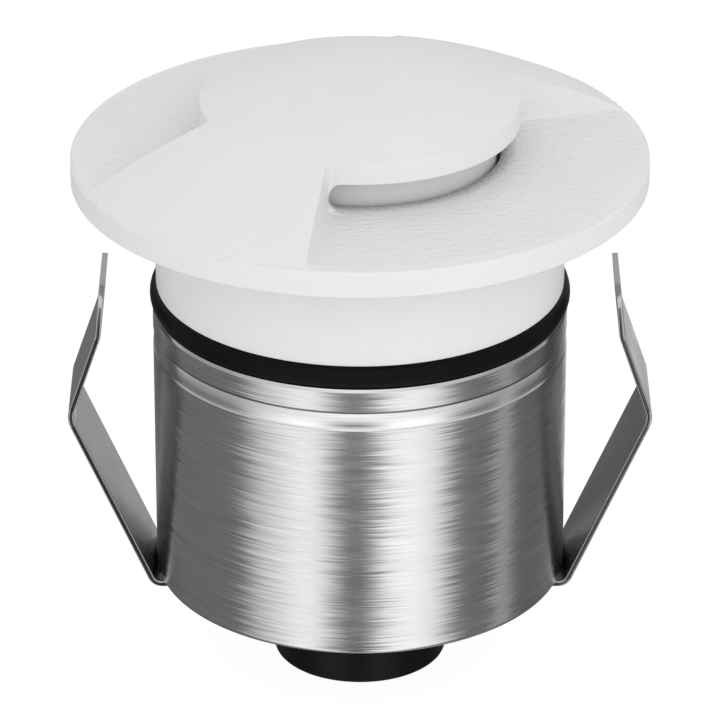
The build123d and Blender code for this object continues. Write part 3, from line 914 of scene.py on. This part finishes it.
FLOOR_Z = CAD_LOW.z
FLOOR_SIZE = 6                # metres
FLOOR_GAP = 0.0001            # below the part, so that the two never share a plane
FLOOR_WHITE, FLOOR_SHADE, FLOOR_GLOW = 0.93, 0.1, 0.95
KEY_FROM = (0.137, -0.512, 0.282)
KEY_AIM = (0, 0, -0.01)
KEY_SIZE = 0.35
SENSOR_WIDTH = 36
CLIP_START = 0.01
BRIGHTEST = 2.0               # strength of a board at the ramp's full white
HORIZON, ZENITH = 1.11, 0.98     # how the even light varies with height
# What metal reflects: white and grey boards all round the light, each (degrees from -Y towards +X,
# strength). The low boards make the upright bands in the steel, and the high ones light its edges.
LOW_BOARDS = ((-180, 0.25), (-166, 0.22), (-158, 0.14), (-130, 0.12), (-118, 0.18), (-71, 0.18),
              (-60, 0.85), (-34, 1.65), (-24, 1.55), (-14, 0.5), (-8, 0.02), (2, 0.02), (8, 0.45),
              (16, 1.5), (28, 1.8), (43, 1.5), (57, 0.17), (80, 0.14), (84, 0.6), (91, 0.6),
              (97, 0.14), (118, 0.14), (140, 0.2), (156, 0.22), (161, 0.5), (168, 1.0), (176, 0.9),
              (180, 0.3))
LEVEL_BOARDS = ((-180, 0.3), (-165, 0.15), (-150, 0.15), (-140, 0.6), (-118, 0.75), (-105, 0.48),
                (-70, 0.48), (-45, 1.0), (0, 1.4), (45, 1.0), (70, 0.48), (105, 0.45), (118, 0.6),
                (140, 0.6), (155, 0.5), (170, 0.5), (180, 0.3))
HIGH_BOARDS = ((-180, 0.8), (-90, 0.55), (0, 1.5), (90, 0.55), (180, 0.8))
LOW_TO_LEVEL = (-0.36, -0.29)  # sines of the heights between which one row of boards gives way
LEVEL_TO_HIGH = (0.0, 0.26)


def floor_material():
    """Pale matt board, seen as white with a faint shadow. It is clear when seen from below."""
    material = bpy.data.materials.new("pale_matt_board")
    material.use_nodes = True
    tree = material.node_tree
    tree.nodes.clear()
    board = add(tree, "ShaderNodeBsdfDiffuse", {"Color": (*[FLOOR_WHITE] * 3, 1)})
    faint = add(tree, "ShaderNodeBsdfDiffuse", {"Color": (*[FLOOR_SHADE] * 3, 1)})
    glow = add(tree, "ShaderNodeEmission", {"Color": (1, 1, 1, 1), "Strength": FLOOR_GLOW})
    white = add(tree, "ShaderNodeAddShader",
                {0: faint.outputs["BSDF"], 1: glow.outputs["Emission"]})
    ray = add(tree, "ShaderNodeLightPath").outputs
    seen = calc(tree, "MAXIMUM", calc(tree, "MAXIMUM", ray["Is Camera Ray"], ray["Is Glossy Ray"]),
                ray["Is Transmission Ray"])
    lit = add(tree, "ShaderNodeMixShader",
              {0: seen, 1: board.outputs["BSDF"], 2: white.outputs["Shader"]})
    below = add(tree, "ShaderNodeNewGeometry").outputs["Backfacing"]
    clear = add(tree, "ShaderNodeBsdfTransparent")
    whole = add(tree, "ShaderNodeMixShader",
                {0: below, 1: lit.outputs["Shader"], 2: clear.outputs["BSDF"]})
    add(tree, "ShaderNodeOutputMaterial", {"Surface": whole.outputs["Shader"]})
    return material


def boards(tree, heading, stops):
    """One row of boards round the light, as strengths that follow the heading from 0 to 1."""
    ramp = add(tree, "ShaderNodeValToRGB", {"Fac": heading})
    elements = ramp.color_ramp.elements
    while len(elements) > 1:
        elements.remove(elements[-1])
    for k, (degrees, strength) in enumerate(stops):
        place = (degrees + 180) / 360
        stop = elements[0] if k == 0 else elements.new(place)
        stop.position = place
        stop.color = (*[strength / BRIGHTEST] * 3, 1)
    return ramp.outputs["Color"]


def studio_world(soft_light):
    """Even light for matt surfaces, white for the camera, and boards for what metal reflects."""
    world = bpy.data.worlds.new("studio")
    world.use_nodes = True
    tree = world.node_tree
    tree.nodes.clear()
    way = add(tree, "ShaderNodeTexCoord").outputs["Generated"]
    parts = add(tree, "ShaderNodeSeparateXYZ", {"Vector": way}).outputs
    angle = calc(tree, "ARCTAN2", parts["X"], calc(tree, "MULTIPLY", parts["Y"], -1.0))
    heading = remap(tree, angle, 0.0, 1.0, -pi, pi)
    rows = [boards(tree, heading, stops) for stops in (LOW_BOARDS, LEVEL_BOARDS, HIGH_BOARDS)]
    seen = rows[0]
    for row, (start, end) in zip(rows[1:], (LOW_TO_LEVEL, LEVEL_TO_HIGH)):
        share = add(tree, "ShaderNodeMapRange",
                    {"Value": parts["Z"], "From Min": start, "From Max": end},
                    interpolation_type="SMOOTHSTEP")
        seen = add(tree, "ShaderNodeMix", {0: share.outputs["Result"], 6: seen, 7: row},
                   data_type="RGBA").outputs[2]
    boards_light = add(tree, "ShaderNodeBackground", {"Color": seen, "Strength": BRIGHTEST})
    ray = add(tree, "ShaderNodeLightPath").outputs
    direct = calc(tree, "MAXIMUM", ray["Is Camera Ray"], ray["Is Transmission Ray"])
    level = remap(tree, parts["Z"], HORIZON * soft_light, ZENITH * soft_light, 0.0, 1.0)
    even = add(tree, "ShaderNodeBackground",
               {"Strength": remap(tree, direct, level, 1.0, 0.0, 1.0)})
    light = add(tree, "ShaderNodeMixShader",
                {0: ray["Is Glossy Ray"], 1: even.outputs["Background"],
                 2: boards_light.outputs["Background"]})
    add(tree, "ShaderNodeOutputWorld", {"Surface": light.outputs["Shader"]})
    bpy.context.scene.world = world


def soft_box(power):
    """The one lamp, near the camera. Metal doesn't mirror it, because the boards stand for it."""
    light = bpy.data.lights.new("soft_box", "AREA")
    light.shape = "SQUARE"
    light.size = KEY_SIZE
    light.energy = power
    made = bpy.data.objects.new("soft_box", light)
    made.location = KEY_FROM
    aim = Vector(KEY_AIM) - Vector(KEY_FROM)
    made.rotation_euler = aim.to_track_quat("-Z", "Y").to_euler()
    made.visible_glossy = False
    bpy.context.scene.collection.objects.link(made)


def photograph_camera(stage):
    """The camera, at the photograph's angle and distance."""
    camera = bpy.data.objects.new("camera", bpy.data.cameras.new("camera"))
    back = Vector((0, -cos(stage.elevation), sin(stage.elevation)))
    camera.location = Vector((0, 0, stage.aim_height)) + stage.distance * back
    camera.rotation_euler = (-back).to_track_quat("-Z", "Y").to_euler()
    camera.data.lens = stage.lens
    camera.data.sensor_width = SENSOR_WIDTH
    camera.data.clip_start = CLIP_START
    bpy.context.scene.collection.objects.link(camera)
    return camera


class WELL_LIGHT_OT_stage(bpy.types.Operator):
    """Floor, soft studio light, what metal reflects, and the camera at the photograph's angle"""
    bl_idname = "well_light.stage"
    bl_label = "Stage"

    def execute(self, context):
        stage = settings()[2]
        bpy.ops.mesh.primitive_plane_add(size=FLOOR_SIZE, location=(0, 0, FLOOR_Z - FLOOR_GAP))
        floor = context.object
        floor.name = "floor"
        floor.visible_glossy = False
        dress(floor, floor_material())
        studio_world(stage.sky)
        soft_box(stage.key)
        context.scene.camera = photograph_camera(stage)
        context.scene.view_settings.view_transform = "Standard"
        return {"FINISHED"}


# ---- pieces ----

class WELL_LIGHT_OT_cover(bpy.types.Operator):
    """Powder-coated cover with its screw thread"""
    bl_idname = "well_light.cover"
    bl_label = "Cover"

    def execute(self, context):
        colours, sizes, _ = settings()
        coat = powder_coated_casting(colours.coat, sizes.coat_grain)
        dress_nodes(coat, "cover")
        cover = dress(cover_casting(), coat)
        stand_for(cover, "top", "powder_coat", "cover")
        return {"FINISHED"}


class WELL_LIGHT_OT_optics(bpy.types.Operator):
    """Diffuser, its gasket and holding ring, and the reflector"""
    bl_idname = "well_light.optics"
    bl_label = "Optics"

    def execute(self, context):
        colours = settings()[0]
        dress_nodes(frosted_polycarbonate(colours.lens), "diffuser")
        dress_nodes(plain_moulding("cast_silicone", "#C4C4C2", 0.5, IOR=1.41), "diffuser_gasket")
        dress_nodes(moulded_nylon(colours.nylon), "diffuser_ring")
        dress_nodes(plain_moulding("white_polycarbonate", "#F0F0EE", 0.2, IOR=1.58), "reflector")
        return {"FINISHED"}


class WELL_LIGHT_OT_seal(bpy.types.Operator):
    """O-ring between the cover and the housing"""
    bl_idname = "well_light.seal"
    bl_label = "O-ring"

    def execute(self, context):
        seal = dress(turned("o_ring", seal_outline()), moulded_rubber(settings()[0].rubber))
        stand_for(seal, "seal", "black_rubber", "cover_seal")
        return {"FINISHED"}


class WELL_LIGHT_OT_housing(bpy.types.Operator):
    """Brushed steel housing"""
    bl_idname = "well_light.housing"
    bl_label = "Housing"

    def execute(self, context):
        colours, sizes, _ = settings()
        cup = dress(steel_cup(), brushed_stainless(colours.steel, sizes.brush_pitch),
                    turned_metal("turned_stainless", colours.groove, 0.24, 0.3))
        stand_for(cup, "body", "brushed_stainless", "housing")
        return {"FINISHED"}


class WELL_LIGHT_OT_clips(bpy.types.Operator):
    """Spring strap and its two arms"""
    bl_idname = "well_light.clips"
    bl_label = "Spring strap"

    def execute(self, context):
        colours = settings()[0]
        strip, edge = spring_strip_steel(colours.strip), sheared_edge(colours.strip_edge)
        low, high = heights("clip_strap")
        ring = turned("strap_ring", rounded([
            (STEM_HOLE_R, low, STRIP_EDGE_ROUND), (STRAP_RING_R, low, STRIP_EDGE_ROUND),
            (STRAP_RING_R, high, STRIP_EDGE_ROUND), (STEM_HOLE_R, high, STRIP_EDGE_ROUND)]))
        stand_for(dress(ring, strip), "body", "spring_steel", "clip_strap")
        for name, side in (("left", -1), ("right", 1)):
            arm = dress(spring_arm(f"{name}_spring_arm", side), strip, edge)
            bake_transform(arm)
            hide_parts(f"{name}_clip_arm")
        return {"FINISHED"}


class WELL_LIGHT_OT_gland(bpy.types.Operator):
    """Cable gland"""
    bl_idname = "well_light.gland"
    bl_label = "Cable gland"

    def execute(self, context):
        colours = settings()[0]
        nylon, rubber = moulded_nylon(colours.nylon), moulded_rubber(colours.rubber)
        dress_nodes(nylon, "gland_body", "gland_nut")
        dress_nodes(rubber, "gland_washer")
        cap = dress(turned("round_cap", cap_outline()), nylon)
        stand_for(cap, "body", "black_nylon", "gland_cap")
        sleeve = dress(turned("cable_sleeve", sleeve_outline(), SLEEVE_SEGMENTS), rubber)
        stand_for(sleeve, "body", "black_rubber", "gland_sleeve")
        return {"FINISHED"}


class WELL_LIGHT_OT_light_module(bpy.types.Operator):
    """Heat sink, LED board and its chips, screws and leads"""
    bl_idname = "well_light.light_module"
    bl_label = "Light module"

    def execute(self, context):
        dress_nodes(turned_metal("turned_aluminium", "#C9CACC", 0.32), "heat_sink")
        dress_nodes(plain_moulding("white_solder_mask", "#E8E8E2", 0.35, IOR=1.5), "led_board")
        dress_nodes(plain_moulding("phosphor_silicone", "#E8C850", 0.3, IOR=1.41), "led_chips")
        screws = turned_metal("zinc_plated_steel", "#C0C2C6", 0.28)
        dress_nodes(screws, "led_screws", "board_screws")
        dress_nodes(plain_moulding("red_pvc", "#A81814", 0.42, IOR=1.53), "lead_positive")
        dress_nodes(plain_moulding("black_pvc", "#1C1C1C", 0.42, IOR=1.53), "lead_negative")
        return {"FINISHED"}


class WELL_LIGHT_OT_driver(bpy.types.Operator):
    """Driver board, its spacers, and what is soldered to it"""
    bl_idname = "well_light.driver"
    bl_label = "Driver"

    def execute(self, context):
        dress_nodes(plain_moulding("green_solder_mask", "#1C6A3C", 0.3, IOR=1.5), "driver_board")
        dress_nodes(turned_metal("turned_brass", "#C8A45A", 0.3), "board_spacers")
        dress_nodes(turned_metal("drawn_aluminium_can", "#B8BABC", 0.34), "driver_capacitor")
        dress_nodes(plain_moulding("sintered_ferrite", "#3A3A3D", 0.6), "driver_inductor")
        dress_nodes(plain_moulding("moulded_epoxy", "#202022", 0.5), "driver_chips")
        return {"FINISHED"}


class WELL_LIGHT_PT_panel(bpy.types.Panel):
    """The light's pieces and stage, one button each"""
    bl_idname = "WELL_LIGHT_PT_panel"
    bl_label = "Well light"
    bl_space_type = "VIEW_3D"
    bl_region_type = "UI"
    bl_category = "Well light"

    def draw(self, context):
        for step in STEPS:
            self.layout.operator(step.bl_idname)
        for group in settings():
            for name in group.bl_rna.properties.keys():
                if name not in ("rna_type", "name"):
                    self.layout.prop(group, name)


STEPS = (WELL_LIGHT_OT_cover, WELL_LIGHT_OT_optics, WELL_LIGHT_OT_seal, WELL_LIGHT_OT_housing,
         WELL_LIGHT_OT_clips, WELL_LIGHT_OT_gland, WELL_LIGHT_OT_light_module,
         WELL_LIGHT_OT_driver, WELL_LIGHT_OT_stage)
GROUPS = {"well_light_colours": WellLightColours, "well_light_sizes": WellLightSizes,
          "well_light_stage": WellLightStage}


def register():
    for kind in (*GROUPS.values(), *STEPS, WELL_LIGHT_PT_panel):
        bpy.utils.register_class(kind)
    for name, group in GROUPS.items():
        setattr(bpy.types.Scene, name, bpy.props.PointerProperty(type=group))


def unregister():
    for name in GROUPS:
        delattr(bpy.types.Scene, name)
    for kind in reversed((*GROUPS.values(), *STEPS, WELL_LIGHT_PT_panel)):
        bpy.utils.unregister_class(kind)


def main():
    register()
    for step in STEPS:
        group, name = step.bl_idname.split(".")
        getattr(getattr(bpy.ops, group), name)()


if __name__ == "__main__":
    main()
